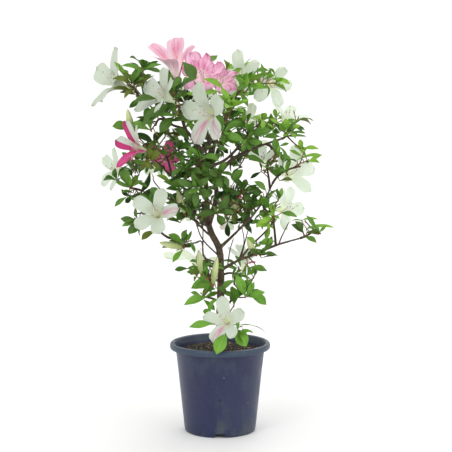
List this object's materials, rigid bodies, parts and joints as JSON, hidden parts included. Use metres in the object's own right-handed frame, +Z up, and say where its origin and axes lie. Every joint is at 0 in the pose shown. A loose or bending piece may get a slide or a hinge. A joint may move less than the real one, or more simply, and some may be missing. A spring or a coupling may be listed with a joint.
{
  "type": "potted azalea shrub",
  "caption": "Young azalea shrub with an upright bare-footed trunk, an open leafy crown and large open blossoms, in a plain round plastic nursery pot.",
  "frame": {"origin": "middle of the pot's underside, on the face of the small centre foot, level with the foot ring", "axes": "+Z up along the pot's axis, -Y to the front of the picture, +X to the picture's right"},
  "size_m": [0.3596, 0.2433, 0.5822],
  "materials": {
    "pot": "satin, dusty near the foot",
    "soil": "rough, loose bark and peat",
    "bark": "matte, finely cracked bark",
    "foliage": "glossy leaves, soft satin petals"
  },
  "bodies": {
    "root": {"pot": "pot", "soil": "soil", "trunk": "bark", "bough_back_high": "bark", "bough_back_low": "bark", "bough_far_left": "bark", "bough_front_high": "bark", "bough_leader": "bark", "bough_left_high": "bark", "bough_left_mid": "bark", "bough_left_up": "bark", "bough_low_left": "bark", "bough_right_back": "bark", "bough_right_high": "bark", "bough_right_low": "bark", "bough_right_mid": "bark", "bough_right_out": "bark", "bough_right_top": "bark", "bough_right_up": "bark", "foliage_back_heart": "foliage", "foliage_back_left": "foliage", "foliage_back_low": "foliage", "foliage_back_right": "foliage", "foliage_back_top": "foliage", "foliage_base_bloom": "foliage", "foliage_base_left": "foliage", "foliage_centre": "foliage", "foliage_centre_low": "foliage", "foliage_far_left": "foliage", "foliage_front_bloom": "foliage", "foliage_left_bloom": "foliage", "foliage_left_bud": "foliage", "foliage_left_fan": "foliage", "foliage_left_flower": "foliage", "foliage_left_heart": "foliage", "foliage_left_pale": "foliage", "foliage_left_tips": "foliage", "foliage_low_back": "foliage", "foliage_low_bud": "foliage", "foliage_low_left_back": "foliage", "foliage_low_left_tuft": "foliage", "foliage_low_mid_right": "foliage", "foliage_low_right": "foliage", "foliage_right_heart": "foliage", "foliage_right_heart_back": "foliage", "foliage_right_high_back": "foliage", "foliage_right_high_heart": "foliage", "foliage_right_high_tip": "foliage", "foliage_right_out_back": "foliage", "foliage_right_shelf": "foliage", "foliage_right_spray": "foliage", "foliage_right_tip": "foliage", "foliage_right_up_heart": "foliage", "foliage_right_up_tip": "foliage", "foliage_top_left_pink": "foliage", "foliage_top_left_white": "foliage", "foliage_top_pink": "foliage", "foliage_top_right": "foliage", "foliage_top_right_back": "foliage"}
  },
  "joints": []
}
